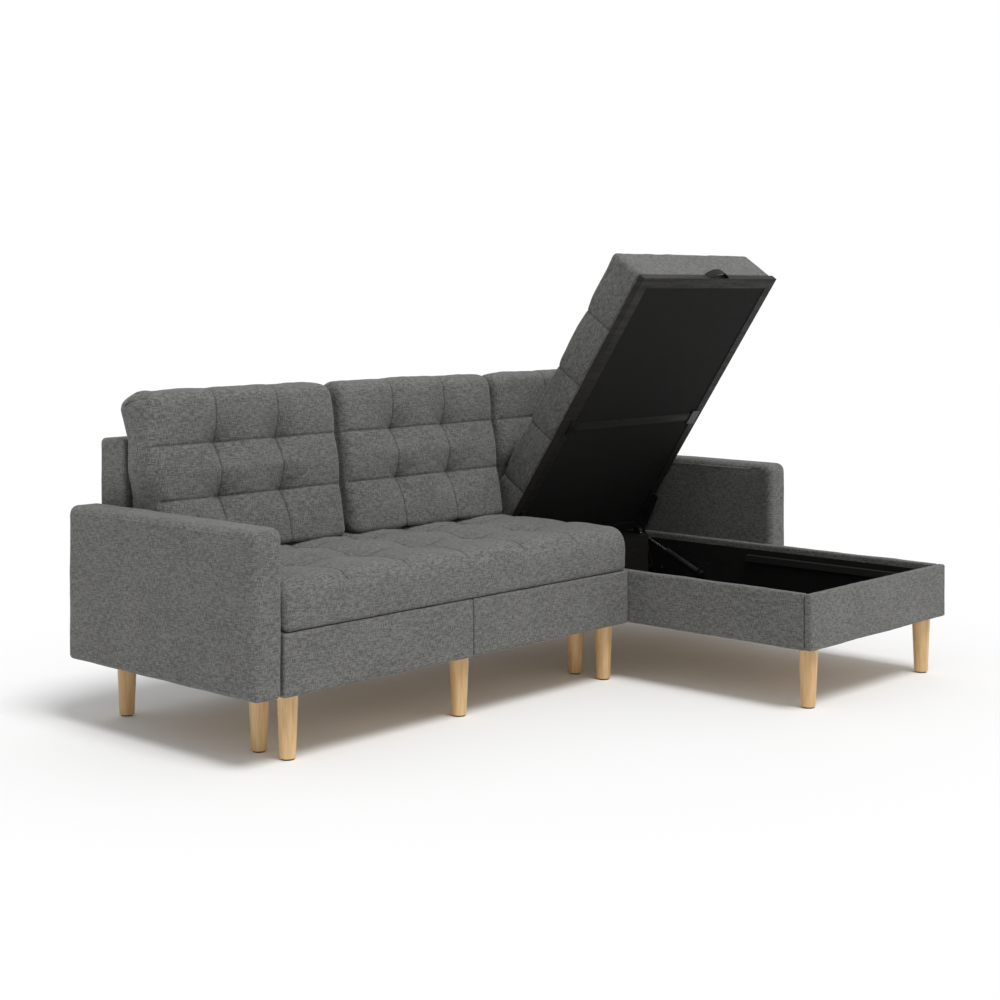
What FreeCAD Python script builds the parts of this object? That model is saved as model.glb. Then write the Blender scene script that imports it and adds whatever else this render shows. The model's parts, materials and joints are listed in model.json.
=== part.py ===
import FreeCAD, Part
import math
import os
import re

import Sketcher
from FreeCAD import Placement, Rotation, Vector

# A corner sofa: two seat modules, a chaise with a storage box under a tilting lid, two arms.
# X runs along the sofa, Y from the front to the back, Z up from the floor.
# The origin is on the floor below the middle of the whole outline. Lengths are in millimetres.
# The lid is drawn closed and then turned open about its pivot pins, as the piece is shown.

DRIVING_SIZES = {
    # outline
    "arm_width": 84, "arm_height": 516, "arm_depth": 690, "arm_corner": 26, "arm_edge": 9,
    "module_width": 588, "chaise_width": 656, "chaise_reach": 560,
    "leg_height": 150, "rail_height": 138,
    "back_height": 670, "back_thickness": 95, "back_inset": 14, "back_corner": 16, "back_edge": 7,
    # boards and upholstered panels
    "panel_thickness": 22, "panel_edge": 5, "panel_gap": 0.6,
    "board_thickness": 12, "rail_thickness": 20, "slat_thickness": 12, "slat_width": 62,
    "slat_count": 6, "lining_thickness": 1.5, "rim_depth": 18,
    "batten_size": 18, "batten_drop": 16, "batten_overlap": 60,
    "deck_top_gap": 6, "mechanism_bay": 36, "partition_setback": 400, "partition_thickness": 12,
    "ledge_depth": 26, "ledge_thickness": 18, "ledge_rise": 97,
    # legs
    "leg_top_radius": 24, "leg_foot_radius": 18, "leg_chamfer": 2, "leg_plate_size": 50,
    "leg_plate_thickness": 3, "glide_thickness": 3, "glide_radius": 14,
    "leg_row_front": 58, "leg_row_second": 155, "leg_rear_inset": 42,
    "leg_inset_left": 58, "leg_middle_shift": 8, "leg_inset_junction": 34,
    "chaise_leg_inset_left": 60, "chaise_leg_inset_right": 48, "chaise_leg_inset_front": 47,
    # seat cushion
    "seat_thickness": 120, "seat_nose_radius": 46, "seat_corner": 14, "seat_crown": 9,
    "seat_nose_crown": 4.5, "seat_rows": 3, "seat_columns": 6, "soft_gap": 0.6,
    "soft_end_draw": 12, "soft_end_reach": 30,
    # back cushions
    "cushion_base_gap": 4, "cushion_foot_depth": 151, "cushion_brow_depth": 103,
    "cushion_brow_rise": 370, "cushion_crest_rise": 382, "cushion_crest_depth": 41,
    "cushion_nape_overhang": 37, "cushion_nape_rise": 350, "cushion_neck_rise": 296,
    "cushion_side_gap": 5, "cushion_crown": 14, "cushion_rows": 3, "cushion_columns": 3,
    "cushion_corner": 30, "cushion_rear_corner": 10, "cushion_top_corner": 15,
    "cushion_top_crown": 3.5, "corner_foot_depth": 36, "corner_slope_rise": 150,
    "corner_crown": 7, "corner_toe": 5,
    # sewn channels and tufts
    "channel_radius": 13, "channel_depth": 6, "tuft_radius": 26, "tuft_depth": 13,
    # lid
    "lid_front_setback": 4, "lid_rear_setback": 364, "lid_side_inset": 21, "lid_rest_gap": 0.5,
    "lid_frame_thickness": 18, "lid_frame_width": 32, "lid_board_thickness": 10,
    "lid_cushion_thickness": 77, "lid_cushion_crown": 8, "lid_cushion_corner": 30,
    "lid_cushion_edge": 6, "lid_cushion_margin": 15, "lid_rows": 5, "lid_columns": 3,
    "lid_cloth_thickness": 1, "lid_cloth_recess": 2, "crossbar_setback": 477, "crossbar_width": 26,
    "bracket_width": 34, "bracket_length": 46, "bracket_thickness": 3,
    "strap_span": 92, "strap_reach": 17, "strap_width": 20, "strap_thickness": 2.5,
    "strap_shift": 31, "strap_height": 3,
    # lid hinges and gas struts
    "open_angle": 56, "pivot_setback": 423, "pivot_rise": 31, "pivot_radius": 5, "pivot_head": 9,
    "pivot_head_thickness": 3, "pivot_head_gap": 0.5, "running_gap": 0.05, "plate_thickness": 3,
    "crank_gap": 1.5, "crank_thickness": 4, "crank_flange_width": 25, "crank_boss": 12,
    "crank_neck": 18, "crank_foot_length": 98, "crank_foot_edge": 16, "crank_end_gap": 40,
    "stud_ahead": 72.5, "stud_above": 84.5, "stud_radius": 4, "stud_cover": 12,
    "strut_foot_setback": 220, "strut_foot_rise": 35, "strut_offset": 20, "strut_radius": 9,
    "strut_wall": 1.5, "strut_eye_width": 10, "strut_foot_eye": 8, "strut_head_eye": 14.5,
    "strut_head_play": 6.6, "strut_tube_start": 7, "strut_tube_end": 133, "strut_gland": 5,
    "strut_rod_radius": 4, "strut_piston_length": 6, "strut_piston_gap": 0.2,
    "strut_piston_stop": 3, "stud_head": 12.5, "stud_head_thickness": 2, "base_drop": 18,
    "base_margin": 22, "base_band": 46, "base_nose": 36,
    "screw_head_radius": 4, "screw_head_height": 1.6, "screw_inset": 12,
}

WORKED_SIZES = {
    "edge_left": "-(2 * arm_width + 2 * module_width + chaise_width) / 2",
    "seat_left": "edge_left + arm_width",
    "seat_middle": "seat_left + module_width",
    "chaise_left": "seat_left + 2 * module_width",
    "chaise_right": "chaise_left + chaise_width",
    "seat_front": "(chaise_reach - arm_depth) / 2",
    "box_front": "seat_front - chaise_reach",
    "arm_rear": "seat_front + arm_depth",
    "back_rear": "arm_rear - back_inset",
    "back_front": "back_rear - back_thickness",
    "base_top": "leg_height + board_thickness",
    "rim_top": "leg_height + rail_height",
    "seat_depth": "back_front - seat_front",
    "inner_front": "seat_front + panel_thickness",
    "rail_top": "rim_top - slat_thickness",
    "box_inner_left": "chaise_left + panel_thickness",
    "box_inner_right": "chaise_right - panel_thickness",
    "box_inner_front": "box_front + panel_thickness",
    "box_inner_rear": "back_front - panel_thickness",
    "lined_left": "box_inner_left + lining_thickness",
    "lined_right": "box_inner_right - lining_thickness",
    "lined_front": "box_inner_front + lining_thickness",
    "lined_rear": "box_inner_rear - lining_thickness",
    "lined_floor": "base_top + lining_thickness",
    "lining_top": "rim_top - rim_depth",
    "bay_left": "lined_left + mechanism_bay",
    "bay_right": "lined_right - mechanism_bay",
    "deck_top": "rim_top - deck_top_gap",
    "deck_front": "seat_front + partition_setback",
    "ledge_top": "rim_top + ledge_rise + ledge_thickness",
    "cushion_base": "rim_top + seat_thickness + cushion_base_gap",
    "lid_left": "chaise_left + lid_side_inset",
    "lid_right": "chaise_right - lid_side_inset",
    "lid_width": "lid_right - lid_left",
    "lid_front": "box_front + lid_front_setback",
    "lid_rear": "seat_front + lid_rear_setback",
    "lid_base": "rim_top + lid_rest_gap",
    "lid_board_base": "lid_base + lid_frame_thickness",
    "lid_cushion_base": "lid_board_base + lid_board_thickness",
    "lid_cushion_top": "lid_cushion_base + lid_cushion_thickness",
    "pivot_y": "seat_front + pivot_setback",
    "pivot_z": "leg_height + pivot_rise",
    "stud_y": "pivot_y - stud_ahead",
    "stud_z": "pivot_z + stud_above",
    "strut_foot_y": "seat_front + strut_foot_setback",
    "strut_foot_z": "leg_height + strut_foot_rise",
}

# How far a corner arc of a cushion bends from its chord towards the corner.
CORNER_SHARE = 0.414
# Along a cushion's rounded end: the share of its reach, of how far the outline is drawn in
# there, and of the crown. The crown is never nothing, so that every section has like arcs.
END_SHARES = ((0, 1, 0.1), (0.33, 0.25, 0.3), (1, 0, 0.6))
# The same halfway to the middle: nothing drawn in and most of the crown.
INNER_SHARES = (0, 0.9)
# Two places are the same if they are closer than this share of a piece's length.
SAME_PLACE_SHARE = 1e-6
RIGHT_ANGLE = 90

document = FreeCAD.newDocument("corner_sofa")
sheet = document.addObject("Spreadsheet::Sheet", "sizes")
for row, (alias, number) in enumerate(DRIVING_SIZES.items(), start=1):
    sheet.set("A%d" % row, alias.replace("_", " "))
    sheet.set("B%d" % row, str(number))
    sheet.setAlias("B%d" % row, alias)
for row, (alias, formula) in enumerate(WORKED_SIZES.items(), start=1):
    sheet.set("D%d" % row, alias.replace("_", " "))
    sheet.set("E%d" % row, "=" + formula)
    sheet.setAlias("E%d" % row, alias)
document.recompute()

nodes = []


def size(alias):
    """A size of the sheet as a plain number."""
    return float(getattr(sheet, alias))


def bound(formula):
    """The formula with every alias read from the sheet."""
    return re.sub(r"\b([a-z]\w*)\b(?!\()", r"sizes.\1", formula)


def worth(formula):
    """What a formula of aliases is worth now."""
    return float(sheet.evalExpression(bound(formula)))


def keep(piece, label):
    """Give the piece its own label and put it on the list of sub-parts."""
    piece.Label = label
    nodes.append(piece)
    return piece


def bind_place(piece, x="0", y="0", z="0"):
    """Bind the place of a piece to the sheet."""
    piece.setExpression("Placement.Base.x", bound(x))
    piece.setExpression("Placement.Base.y", bound(y))
    piece.setExpression("Placement.Base.z", bound(z))
    return piece


def block(name, x, y, z):
    """A box between two formulas on each axis."""
    piece = document.addObject("Part::Box", name)
    for prop, (low, high) in zip(("Length", "Width", "Height"), (x, y, z)):
        piece.setExpression(prop, bound("(%s) - (%s)" % (high, low)))
    return bind_place(piece, x[0], y[0], z[0])


def board(label, x, y, z):
    """A plain rectangular board that is a sub-part of its own."""
    return keep(block(label, x, y, z), label)


def compound(label, pieces):
    """Like pieces that share one node, each a separate solid."""
    group = document.addObject("Part::Compound", label)
    group.Links = pieces
    return keep(group, label)


def outline_sketch(body, name, role, points):
    """A closed polygon on one of the body's own planes, every corner bound to the sheet."""
    sketch = body.newObject("Sketcher::SketchObject", name)
    plane = [feature for feature in body.Origin.OriginFeatures if feature.Role == role][0]
    sketch.AttachmentSupport = (plane, [""])
    sketch.MapMode = "FlatFace"
    corners = [Vector(worth(across), worth(up), 0) for across, up in points]
    count = len(corners)
    for index, corner in enumerate(corners):
        sketch.addGeometry(Part.LineSegment(corner, corners[(index + 1) % count]))
    for index in range(count):
        sketch.addConstraint(Sketcher.Constraint("Coincident", index, 2, (index + 1) % count, 1))
    for index, (corner, formulas) in enumerate(zip(corners, points)):
        for kind, value, formula in (("DistanceX", corner.x, formulas[0]),
                                     ("DistanceY", corner.y, formulas[1])):
            number = sketch.addConstraint(Sketcher.Constraint(kind, -1, 1, index, 1, value))
            sketch.renameConstraint(number, "corner%d%s" % (index, kind))
            sketch.setExpression("Constraints.corner%d%s" % (index, kind), bound(formula))
    return sketch


def pad(body, name, sketch, length, backwards=False):
    feature = body.newObject("PartDesign::Pad", name)
    feature.Profile = sketch
    feature.setExpression("Length", bound(length))
    feature.Reversed = backwards
    document.recompute()
    return feature


def round_edges(body, name, base, radius, chosen):
    """Fillet the edges of the last feature for which chosen(edge) is true."""
    names = ["Edge%d" % (number + 1) for number, edge in enumerate(base.Shape.Edges)
             if chosen(edge)]
    feature = body.newObject("PartDesign::Fillet", name)
    feature.Base = (base, names)
    feature.setExpression("Radius", bound(radius))
    document.recompute()
    return feature


def along_x(edge):
    box = edge.BoundBox
    return box.XLength > max(box.YLength, box.ZLength)


def on_an_end(shape):
    """True for the edges that lie in an end plane of the shape, left or right."""
    box = shape.BoundBox
    near = box.XLength * SAME_PLACE_SHARE

    def test(edge):
        low = max(abs(edge.BoundBox.XMin - box.XMin), abs(edge.BoundBox.XMax - box.XMin))
        high = max(abs(edge.BoundBox.XMin - box.XMax), abs(edge.BoundBox.XMax - box.XMax))
        return min(low, high) < near
    return test


def upholstered(label, x, y, z, edge, corner=None):
    """A padded panel: its end outline is padded along X, then its edges are rounded.

    With a corner radius the two upper corners seen from the side are rounded first."""
    body = document.addObject("PartDesign::Body", label)
    outline = [(y[0], z[0]), (y[1], z[0]), (y[1], z[1]), (y[0], z[1])]
    sketch = outline_sketch(body, label + "_outline", "YZ_Plane", outline)
    feature = pad(body, label + "_pad", sketch, "(%s) - (%s)" % (x[1], x[0]))
    if corner:
        middle = (worth(z[0]) + worth(z[1])) / 2
        feature = round_edges(body, label + "_corners", feature, corner,
                              lambda item: along_x(item) and item.BoundBox.ZMin > middle)
        round_edges(body, label + "_edges", feature, edge, on_an_end(feature.Shape))
    else:
        round_edges(body, label + "_edges", feature, edge, lambda item: True)
    bind_place(body, x=x[0])
    return keep(body, label)


def section(x, corners, bulges, radii):
    """A closed wire across X: bulged sides as shallow arcs, joined by corner arcs."""
    count = len(corners)
    starts, ends = [], []
    for index in range(count):
        here, after = corners[index], corners[(index + 1) % count]
        run = (after - here).normalize()
        starts.append(here + run * radii[index])
        ends.append(after - run * radii[(index + 1) % count])
    edges = []
    for index in range(count):
        run = (ends[index] - starts[index]).normalize()
        outward = Vector(0, run.z, -run.y)
        middle = (starts[index] + ends[index]) / 2 + outward * bulges[index]
        if bulges[index]:
            edges.append(Part.Arc(starts[index], middle, ends[index]).toShape())
        else:
            edges.append(Part.LineSegment(starts[index], ends[index]).toShape())
        corner, after = corners[(index + 1) % count], starts[(index + 1) % count]
        chord = (ends[index] + after) / 2
        bend = chord + (corner - chord) * CORNER_SHARE
        edges.append(Part.Arc(ends[index], bend, after).toShape())
    wire = Part.Wire(edges)
    wire.translate(Vector(x, 0, 0))
    return wire


def drawn_in(corners, amount):
    """The corners of a section drawn in towards its middle and down to its flat base."""
    low = min(corner.z for corner in corners)
    high = max(corner.z for corner in corners)
    middle = (min(corner.y for corner in corners) + max(corner.y for corner in corners)) / 2
    depth = max(corner.y for corner in corners) - min(corner.y for corner in corners)
    across = 1 - 2 * amount / depth
    up = 1 - amount / (high - low)
    return [Vector(0, middle + (corner.y - middle) * across, low + (corner.z - low) * up)
            for corner in corners]


def crowned(x_low, x_high, corners, bulges, radii):
    """A cushion's closed form: a loft along X, drawn in at both ends and crowned between."""
    reach = size("soft_end_reach")
    draw = size("soft_end_draw")
    middle = (x_low + x_high) / 2
    quarter = (middle - x_low) / 2
    near = [(reach * along, draw * inset, swell) for along, inset, swell in END_SHARES]
    near.append((quarter, draw * INNER_SHARES[0], INNER_SHARES[1]))
    stations = [(x_low + along, inset, swell) for along, inset, swell in near]
    stations.append((middle, draw * INNER_SHARES[0], 1))
    stations += [(x_high - along, inset, swell) for along, inset, swell in reversed(near)]
    wires = []
    for x, inset, swell in stations:
        swollen = [bulge * swell for bulge in bulges]
        wires.append(section(x, drawn_in(corners, inset), swollen, radii))
    return Part.makeLoft(wires, True, True)


def channel(start, end, outward):
    """A round sewn channel along a surface, from start to end, as deep as the sheet says."""
    lift = size("channel_radius") - size("channel_depth")
    run = end - start
    return Part.makeCylinder(size("channel_radius"), run.Length, start + outward * lift, run)


def tuft(point, outward):
    """A round pull where two channels cross."""
    lift = size("tuft_radius") - size("tuft_depth")
    return Part.makeSphere(size("tuft_radius"), point + outward * lift)


def flat_grid(x_low, x_high, y_low, y_high, top, rows, columns, margin):
    """Channels and tufts of a flat top: rows across Y, columns across X."""
    up = Vector(0, 0, 1)
    tools = []
    row_places = [y_low + (y_high - y_low) * index / rows for index in range(1, rows)]
    column_places = [x_low + (x_high - x_low) * index / columns for index in range(1, columns)]
    for y in row_places:
        tools.append(channel(Vector(x_low + margin, y, top), Vector(x_high - margin, y, top), up))
    for x in column_places:
        tools.append(channel(Vector(x, y_low + margin, top), Vector(x, y_high - margin, top), up))
    for x in column_places:
        for y in row_places:
            tools.append(tuft(Vector(x, y, top), up))
    return tools


def soft_piece(label, shape):
    piece = document.addObject("Part::Feature", label)
    piece.Shape = shape
    return keep(piece, label)


def make_arms():
    depth = ("seat_front", "arm_rear")
    height = ("leg_height", "arm_height")
    upholstered("arm_left", ("edge_left", "seat_left - panel_gap / 2"), depth, height,
                "arm_edge", "arm_corner")
    upholstered("arm_right", ("chaise_right + panel_gap / 2", "chaise_right + arm_width"), depth,
                height, "arm_edge", "arm_corner")


def make_backs():
    depth = ("back_front", "back_rear")
    height = ("leg_height", "back_height")
    upholstered("back_frame_seat", ("seat_left", "chaise_left - panel_gap / 2"), depth, height,
                "back_edge", "back_corner")
    upholstered("back_frame_chaise", ("chaise_left + panel_gap / 2", "chaise_right"), depth,
                height, "back_edge", "back_corner")
    board("back_ledge", ("chaise_left + cushion_side_gap", "chaise_right - cushion_side_gap"),
          ("back_front - ledge_depth", "back_front"), ("rim_top + ledge_rise", "ledge_top"))


def make_seat_base():
    front = ("seat_front", "inner_front")
    height = ("leg_height", "rim_top")
    upholstered("front_panel_left", ("seat_left", "seat_middle - panel_gap"), front, height,
                "panel_edge")
    upholstered("front_panel_middle", ("seat_middle + panel_gap", "chaise_left"), front, height,
                "panel_edge")
    board("seat_base_board", ("seat_left", "chaise_left"), ("inner_front", "back_front"),
          ("leg_height", "base_top"))
    rail = ("base_top", "rail_top")
    span = ("inner_front", "back_front")
    board("seat_rail_left", ("seat_left", "seat_left + rail_thickness"), span, rail)
    board("seat_rail_middle", ("seat_middle - rail_thickness / 2",
                               "seat_middle + rail_thickness / 2"), span, rail)
    board("seat_rail_right", ("chaise_left - rail_thickness", "chaise_left"), span, rail)
    slats = []
    pitch = "(back_front - inner_front - slat_width) / (slat_count - 1)"
    for index in range(int(size("slat_count"))):
        low = "inner_front + %d * %s" % (index, pitch)
        slats.append(block("slat_%d" % (index + 1), ("seat_left", "chaise_left"),
                           (low, low + " + slat_width"), ("rail_top", "rim_top")))
    compound("seat_slats", slats)


def make_box():
    height = ("leg_height", "rim_top")
    depth = ("box_inner_front", "back_front")
    upholstered("box_front_panel", ("chaise_left", "chaise_right"),
                ("box_front", "box_inner_front"), height, "panel_edge")
    upholstered("box_left_panel", ("chaise_left", "box_inner_left"), depth, height, "panel_edge")
    upholstered("box_right_panel", ("box_inner_right", "chaise_right"), depth, height,
                "panel_edge")
    inner = ("box_inner_left", "box_inner_right")
    board("box_rear_panel", inner, ("box_inner_rear", "back_front"), ("base_top", "deck_top"))
    board("box_bottom", inner, ("box_inner_front", "back_front"), ("leg_height", "base_top"))
    outer = block("lining_outer", inner, ("box_inner_front", "box_inner_rear"),
                  ("base_top", "lining_top"))
    room = block("lining_room", ("lined_left", "lined_right"), ("lined_front", "lined_rear"),
                 ("lined_floor", "rim_top"))
    lining = document.addObject("Part::Cut", "box_lining")
    lining.Base = outer
    lining.Tool = room
    keep(lining, "box_lining")
    batten = ("lining_top - batten_drop - batten_size", "lining_top - batten_drop")
    run = ("lined_front", "seat_front + batten_overlap")
    board("box_batten_left", ("lined_left", "lined_left + batten_size"), run, batten)
    board("box_batten_right", ("lined_right - batten_size", "lined_right"), run, batten)
    across = ("bay_left", "bay_right")
    board("rear_partition", across, ("deck_front", "deck_front + partition_thickness"),
          ("lined_floor", "deck_top - board_thickness"))
    board("rear_deck", across, ("deck_front", "box_inner_rear"),
          ("deck_top - board_thickness", "deck_top"))


LEG_PLACES = {
    "leg_front_left": ("seat_left + leg_inset_left", "seat_front + leg_row_front"),
    "leg_second_left": ("seat_left + leg_inset_left", "seat_front + leg_row_second"),
    "leg_front_middle": ("seat_middle + leg_middle_shift", "seat_front + leg_row_front"),
    "leg_front_junction": ("chaise_left - leg_inset_junction", "seat_front + leg_row_front"),
    "leg_second_junction": ("chaise_left - leg_inset_junction", "seat_front + leg_row_second"),
    "leg_rear_left": ("seat_left + leg_inset_left", "arm_rear - leg_rear_inset"),
    "leg_rear_middle": ("seat_middle + leg_middle_shift", "arm_rear - leg_rear_inset"),
    "leg_rear_junction": ("chaise_left - leg_inset_junction", "arm_rear - leg_rear_inset"),
    "leg_chaise_left": ("chaise_left + chaise_leg_inset_left",
                        "box_front + chaise_leg_inset_front"),
    "leg_chaise_right": ("chaise_right - chaise_leg_inset_right",
                         "box_front + chaise_leg_inset_front"),
    "leg_rear_right": ("chaise_right - chaise_leg_inset_right", "arm_rear - leg_rear_inset"),
}


def make_legs():
    plates, glides = [], []
    for label, (x, y) in LEG_PLACES.items():
        body = document.addObject("PartDesign::Body", label)
        profile = [("0", "glide_thickness"), ("leg_foot_radius - leg_chamfer", "glide_thickness"),
                   ("leg_foot_radius", "glide_thickness + leg_chamfer"),
                   ("leg_top_radius", "leg_height - leg_plate_thickness"),
                   ("0", "leg_height - leg_plate_thickness")]
        sketch = outline_sketch(body, label + "_profile", "XZ_Plane", profile)
        turned = body.newObject("PartDesign::Revolution", label + "_turned")
        turned.Profile = sketch
        turned.ReferenceAxis = (sketch, ["V_Axis"])
        turned.Angle = 360
        bind_place(body, x, y)
        keep(body, label)
        half = " - leg_plate_size / 2", " + leg_plate_size / 2"
        plates.append(block(label + "_plate", (x + half[0], x + half[1]),
                            (y + half[0], y + half[1]),
                            ("leg_height - leg_plate_thickness", "leg_height")))
        glide = document.addObject("Part::Cylinder", label + "_glide")
        glide.setExpression("Radius", bound("glide_radius"))
        glide.setExpression("Height", bound("glide_thickness"))
        glides.append(bind_place(glide, x, y))
    compound("leg_plates", plates)
    compound("leg_glides", glides)


def make_seat_cushion():
    gap = size("soft_gap")
    x_low, x_high = size("seat_left") + gap, size("chaise_left") - gap
    y_low, y_high = size("seat_front") + gap, size("back_front") - gap
    base = size("rim_top")
    top = base + size("seat_thickness") - size("seat_crown")
    corners = [Vector(0, y_low, base), Vector(0, y_high, base), Vector(0, y_high, top),
               Vector(0, y_low, top)]
    nose, corner = size("seat_nose_radius"), size("seat_corner")
    bulges = [0, 0, size("seat_crown"), size("seat_nose_crown")]
    corners[0] = corners[0] + Vector(0, bulges[3], 0)
    corners[3] = corners[3] + Vector(0, bulges[3], 0)
    form = crowned(x_low, x_high, corners, bulges, [corner, corner, corner, nose])
    tools = flat_grid(x_low, x_high, y_low, y_high, top + size("seat_crown"),
                      int(size("seat_rows")), int(size("seat_columns")), size("seat_corner"))
    soft_piece("seat_cushion", form.cut(tools))


def make_back_cushion(label, left, right, slope_foot=False):
    """A leaning back cushion. The one above the chaise slopes back below, clear of the lid."""
    base = size("cushion_base")
    gap = size("soft_gap")
    x_low = worth(left) + size("cushion_side_gap")
    x_high = worth(right) - size("cushion_side_gap")
    behind = size("back_front")
    rear = behind - gap
    foot = Vector(0, behind - size("cushion_foot_depth"), base)
    brow = Vector(0, behind - size("cushion_brow_depth"), base + size("cushion_brow_rise"))
    crest = Vector(0, behind - size("cushion_crest_depth"), base + size("cushion_crest_rise"))
    nape = Vector(0, behind + size("cushion_nape_overhang"), base + size("cushion_nape_rise"))
    neck = Vector(0, rear, base + size("cushion_neck_rise") - size("cushion_corner"))
    heel = Vector(0, rear, base)
    soft, tight = size("cushion_corner"), size("cushion_rear_corner")
    top_soft, top_crown = size("cushion_top_corner"), size("cushion_top_crown")
    if slope_foot:
        crown = size("corner_crown")
        share = size("corner_slope_rise") / size("cushion_brow_rise")
        knee = foot + (brow - foot) * share
        heel = Vector(0, rear, size("ledge_top") + gap)
        toe = Vector(0, rear - size("corner_foot_depth"), size("ledge_top") + gap)
        corners = [toe, heel, neck, nape, crest, brow, knee]
        bulges = [0, 0, 0, top_crown, top_crown, crown, 0]
        radii = [size("corner_toe"), tight, tight, soft, top_soft, top_soft, soft]
    else:
        crown = size("cushion_crown")
        corners = [foot, heel, neck, nape, crest, brow]
        bulges = [0, 0, 0, top_crown, top_crown, crown]
        radii = [soft, tight, tight, soft, top_soft, top_soft]
    form = crowned(x_low, x_high, corners, bulges, radii)
    lean = (brow - foot).normalize()
    outward = Vector(0, -lean.z, lean.y)
    rows, columns = int(size("cushion_rows")), int(size("cushion_columns"))
    swell = outward * crown
    start = knee if slope_foot else foot
    places = [foot + (brow - foot) * (index / rows) + swell for index in range(1, rows)]
    places = [place for place in places if place.z > start.z + soft]
    across = [x_low + (x_high - x_low) * index / columns for index in range(1, columns)]
    tools = []
    for place in places:
        tools.append(channel(place + Vector(x_low + soft, 0, 0),
                             place + Vector(x_high - soft, 0, 0), outward))
    for x in across:
        shift = Vector(x, 0, 0) + swell
        tools.append(channel(start + lean * soft + shift, brow + shift, outward))
        for place in places:
            tools.append(tuft(place + Vector(x, 0, 0), outward))
    soft_piece(label, form.cut(tools))


def make_back_cushions():
    make_back_cushion("back_cushion_left", "seat_left", "seat_middle")
    make_back_cushion("back_cushion_middle", "seat_middle", "chaise_left")
    make_back_cushion("back_cushion_right", "chaise_left", "chaise_right", slope_foot=True)


def lid_turn():
    """The turn about the pivot pins from closed to open."""
    turn = Rotation(Vector(1, 0, 0), -size("open_angle"))
    centre = Vector(0, size("pivot_y"), size("pivot_z"))
    return Placement(Vector(0, 0, 0), turn, centre)


def open_with_lid(pieces):
    """Turn pieces that were drawn closed to the open rest place of the lid."""
    document.recompute()
    for piece in pieces:
        place = lid_turn().multiply(piece.Placement)
        for prop in ("x", "y", "z"):
            piece.setExpression("Placement.Base." + prop, None)
        piece.Placement = place


def make_lid():
    outer_y = ("lid_front", "lid_rear")
    frame_z = ("lid_base", "lid_board_base")
    around = block("lid_frame_outer", ("lid_left", "lid_right"), outer_y, frame_z)
    inside = ("lid_left + lid_frame_width", "lid_right - lid_frame_width")
    hole = block("lid_frame_room", inside,
                 ("lid_front + lid_frame_width", "lid_rear - lid_frame_width"), frame_z)
    frame = document.addObject("Part::Cut", "lid_frame")
    frame.Base = around
    frame.Tool = hole
    keep(frame, "lid_frame")
    plate = board("lid_board", ("lid_left", "lid_right"), outer_y,
                  ("lid_board_base", "lid_cushion_base"))
    bar_y = ("lid_front + crossbar_setback", "lid_front + crossbar_setback + crossbar_width")
    bar = board("lid_crossbar", inside, bar_y, frame_z)
    cloth_z = ("lid_base + lid_cloth_recess", "lid_base + lid_cloth_recess + lid_cloth_thickness")
    cloth_front = board("lid_cloth_front", inside, ("lid_front + lid_frame_width", bar_y[0]),
                        cloth_z)
    cloth_rear = board("lid_cloth_rear", inside, (bar_y[1], "lid_rear - lid_frame_width"), cloth_z)
    clips = []
    clip_y = (bar_y[0] + " + (crossbar_width - bracket_length) / 2",
              bar_y[0] + " + (crossbar_width + bracket_length) / 2")
    clip_z = ("lid_base - bracket_thickness", "lid_base")
    for name, low, high in (
            ("clip_left", "lid_left + lid_frame_width - bracket_width / 2",
             "lid_left + lid_frame_width + bracket_width / 2"),
            ("clip_right", "lid_right - lid_frame_width - bracket_width / 2",
             "lid_right - lid_frame_width + bracket_width / 2")):
        clips.append(block(name, (low, high), clip_y, clip_z))
    brackets = compound("crossbar_brackets", clips)
    return [frame, plate, bar, cloth_front, cloth_rear, brackets, make_lid_cushion(),
            make_pull_strap()]


def make_lid_cushion():
    x_low, x_high = size("lid_left"), size("lid_right")
    y_low, y_high = size("lid_front"), size("lid_rear")
    base, top = size("lid_cushion_base"), size("lid_cushion_top")
    corner, crown = size("lid_cushion_corner"), size("lid_cushion_crown")
    corners = [Vector(0, y_low, base), Vector(0, y_high, base), Vector(0, y_high, top),
               Vector(0, y_low, top)]
    edge = size("lid_cushion_edge")
    form = crowned(x_low, x_high, corners, [0, 0, crown, 0], [edge, edge, corner, corner])
    tools = flat_grid(x_low, x_high, y_low, y_high, top + crown, int(size("lid_rows")),
                      int(size("lid_columns")), size("lid_cushion_margin"))
    return soft_piece("lid_cushion", form.cut(tools))


def make_pull_strap():
    """A webbing loop that bows out of the lid's front edge: a bent band between two arcs."""
    half = size("strap_span") / 2
    reach, thick = size("strap_reach"), size("strap_thickness")
    outer = [Vector(-half, 0, 0), Vector(0, -reach, 0), Vector(half, 0, 0)]
    inner = [Vector(half - thick, 0, 0), Vector(0, thick - reach, 0), Vector(thick - half, 0, 0)]
    edges = [Part.Arc(*outer).toShape(), Part.LineSegment(outer[2], inner[0]).toShape(),
             Part.Arc(*inner).toShape(), Part.LineSegment(inner[2], outer[0]).toShape()]
    band = Part.Face(Part.Wire(edges)).extrude(Vector(0, 0, size("strap_width")))
    piece = document.addObject("Part::Feature", "pull_strap")
    piece.Shape = band
    middle = (size("lid_left") + size("lid_right")) / 2 + size("strap_shift")
    piece.Placement = Placement(Vector(middle, size("lid_front"),
                                       size("lid_base") + size("strap_height")), Rotation())
    return keep(piece, "pull_strap")


def rod(name, radius, start, length, y, z, side):
    """A round pin along X. It starts at a distance from the box wall and points inwards."""
    pin = document.addObject("Part::Cylinder", name)
    pin.setExpression("Radius", bound(radius))
    pin.setExpression("Height", bound(length))
    pin.Placement.Rotation = Rotation(Vector(0, 1, 0), RIGHT_ANGLE * side["inwards"])
    return bind_place(pin, side["wall"] + side["plus"] + "(" + start + ")", y, z)


def fused(name, pieces):
    joined = document.addObject("Part::MultiFuse", name)
    joined.Shapes = pieces
    return joined


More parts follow.
